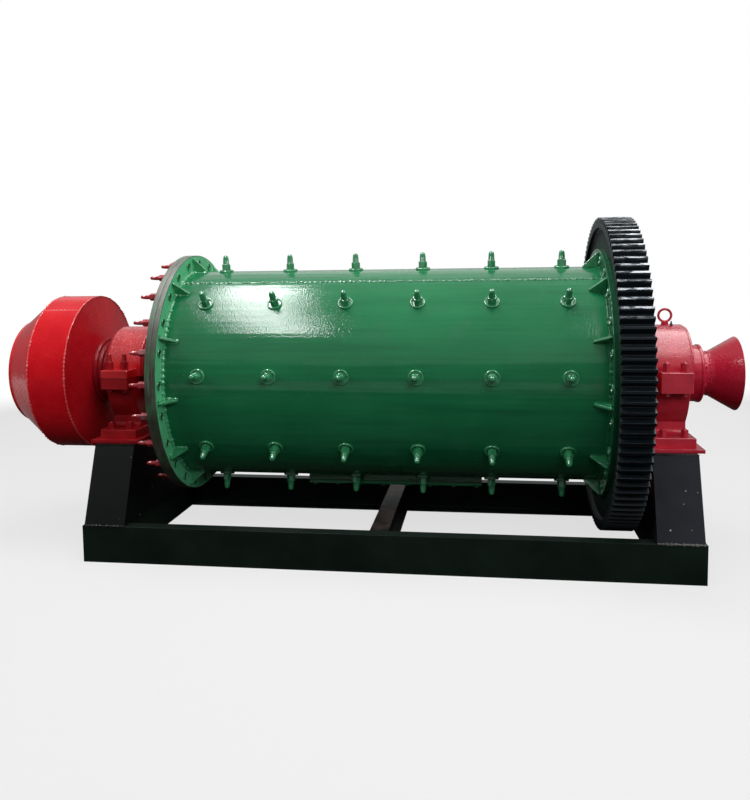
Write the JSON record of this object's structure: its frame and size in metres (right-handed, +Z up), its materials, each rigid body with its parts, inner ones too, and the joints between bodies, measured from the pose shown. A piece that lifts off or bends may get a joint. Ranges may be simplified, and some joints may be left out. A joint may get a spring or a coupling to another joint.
{
  "type": "ball mill",
  "caption": "Horizontal grinding drum on two pedestal bearings over a steel base frame, with a drum feeder, girth gear and flared discharge.",
  "frame": {"origin": "on the floor, at the centre of the base frame's anchor bolt rectangle", "axes": "+X along the drum from the feed end to the gear and discharge end, +Z up, +Y to the back"},
  "size_m": [4.219, 1.776, 1.897],
  "materials": {
    "drum_enamel": "glossy green enamel over rolled and welded plate",
    "frame_paint": "black green paint, dusty and spattered",
    "bearing_red": "crimson enamel over rough castings",
    "feeder_red": "bright red enamel over rolled plate",
    "gear_cast_steel": "black cast steel with bright worn tooth edges",
    "bearing_bronze": "plain bearing bronze"
  },
  "bodies": {
    "base": {"cap_eyebolt": "bearing_red", "centre_cross_member": "frame_paint", "front_beam": "frame_paint", "left_bearing_bush": "bearing_bronze", "left_bearing_cap": "bearing_red", "left_bearing_end_rings": "bearing_red", "left_bearing_housing": "bearing_red", "left_end_cross_members": "frame_paint", "left_end_support": "frame_paint", "left_sole_plate": "bearing_red", "rear_beam": "frame_paint", "right_bearing_bush": "bearing_bronze", "right_bearing_cap": "bearing_red", "right_bearing_end_rings": "bearing_red", "right_bearing_housing": "bearing_red", "right_end_cross_members": "frame_paint", "right_end_support": "frame_paint", "right_sole_plate": "bearing_red"},
    "drum": {"drum_shell": "drum_enamel", "manhole_frame": "drum_enamel", "manhole_cover": "drum_enamel", "left_shell_flange": "drum_enamel", "right_shell_flange": "drum_enamel", "left_flange_gussets": "drum_enamel", "right_flange_gussets": "drum_enamel", "feed_head": "bearing_red", "discharge_head": "bearing_red", "feed_trunnion": "bearing_red", "discharge_trunnion": "bearing_red", "girth_gear": "gear_cast_steel", "girth_gear_web": "gear_cast_steel", "feeder_band": "feeder_red", "feeder_front_cone": "feeder_red", "feeder_back_wall": "feeder_red", "feeder_neck_rings": "feeder_red", "discharge_flange": "bearing_red", "discharge_bell": "bearing_red"}
  },
  "joints": [
    {"name": "drum_spin", "type": "hinge", "parent": "base", "child": "drum", "pos_m": [0, 0, 1.009], "axis": [1, 0, 0], "continuous": true}
  ]
}
